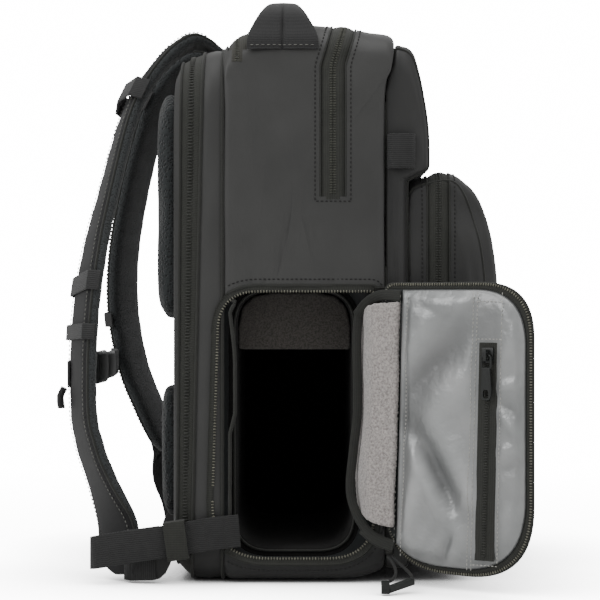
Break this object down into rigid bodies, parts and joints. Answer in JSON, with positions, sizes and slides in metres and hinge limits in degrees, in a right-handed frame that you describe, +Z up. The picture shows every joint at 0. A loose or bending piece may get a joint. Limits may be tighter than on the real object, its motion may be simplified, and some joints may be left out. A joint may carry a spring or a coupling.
{
  "type": "camera backpack",
  "caption": "Upright zipped camera backpack with a padded side door standing open, shoulder straps, sternum strap, belt and top handle.",
  "frame": {"origin": "middle of the main compartment's base, on the floor", "axes": "+X from the wearer's back to the front pocket, +Y across the bag away from the open side door, +Z up"},
  "size_m": [0.3558, 0.3646, 0.4415],
  "materials": {
    "coated_fabric": "water-repellent coated nylon, dull",
    "zip_tape": "woven zip tape with moulded coil teeth",
    "pad_mesh": "knitted spacer mesh over foam",
    "webbing": "ribbed polyester webbing",
    "lining_nylon": "silver-grey lining nylon with a soft sheen",
    "fleece_light": "brushed loop fleece",
    "fleece_dark": "brushed loop fleece over foam",
    "moulded_plastic": "moulded acetal and braided cord",
    "metal": "nickel-plated die-cast slider"
  },
  "bodies": {
    "bag": {"door_panel": "coated_fabric", "door_zip": "zip_tape", "door_lining": "lining_nylon", "pocket_door_zip": "zip_tape", "pocket_slider": "moulded_plastic", "door_low_slider": "metal", "main_shell": "coated_fabric", "main_zip": "zip_tape", "top_rear_zip": "zip_tape", "front_shell": "coated_fabric", "pocket_shell": "coated_fabric", "pocket_zip": "zip_tape", "rear_gusset": "coated_fabric", "rear_zip": "zip_tape", "back_board": "coated_fabric", "back_pad_upper_near": "pad_mesh", "back_pad_upper_far": "pad_mesh", "back_pad_lower": "pad_mesh", "top_handle": "webbing", "side_loop_near": "webbing", "side_loop_far": "webbing", "camera_insert": "fleece_dark", "divider_pad": "fleece_dark", "opening_lining": "fleece_dark", "opening_zip": "zip_tape", "hinge_fleece": "fleece_light", "door_top_slider": "metal", "pull_cord_left": "moulded_plastic", "pull_cord_right": "moulded_plastic", "pull_grip": "moulded_plastic", "strap_near": "pad_mesh", "strap_far": "pad_mesh", "strap_loop_near": "webbing", "strap_patch_near": "webbing", "strap_band_near": "webbing", "strap_loop_far": "webbing", "strap_band_far": "webbing", "strap_webbing_near": "webbing", "strap_webbing_far": "webbing", "sternum_webbing_near": "webbing", "sternum_webbing_far": "webbing", "sternum_tail": "webbing", "buckle_socket": "moulded_plastic", "buckle_plug": "moulded_plastic", "waist_belt": "webbing", "belt_keeper": "zip_tape", "anchor_wing_near": "coated_fabric", "anchor_wing_far": "coated_fabric"},
    "puller": {"pocket_puller": "moulded_plastic"}
  },
  "joints": [
    {"name": "puller_swing", "type": "hinge", "parent": "bag", "child": "puller", "pos_m": [0.12966, -0.20842, 0.1715], "axis": [-0.8387, 0.5446, 0], "range_deg": [0, 170]}
  ]
}
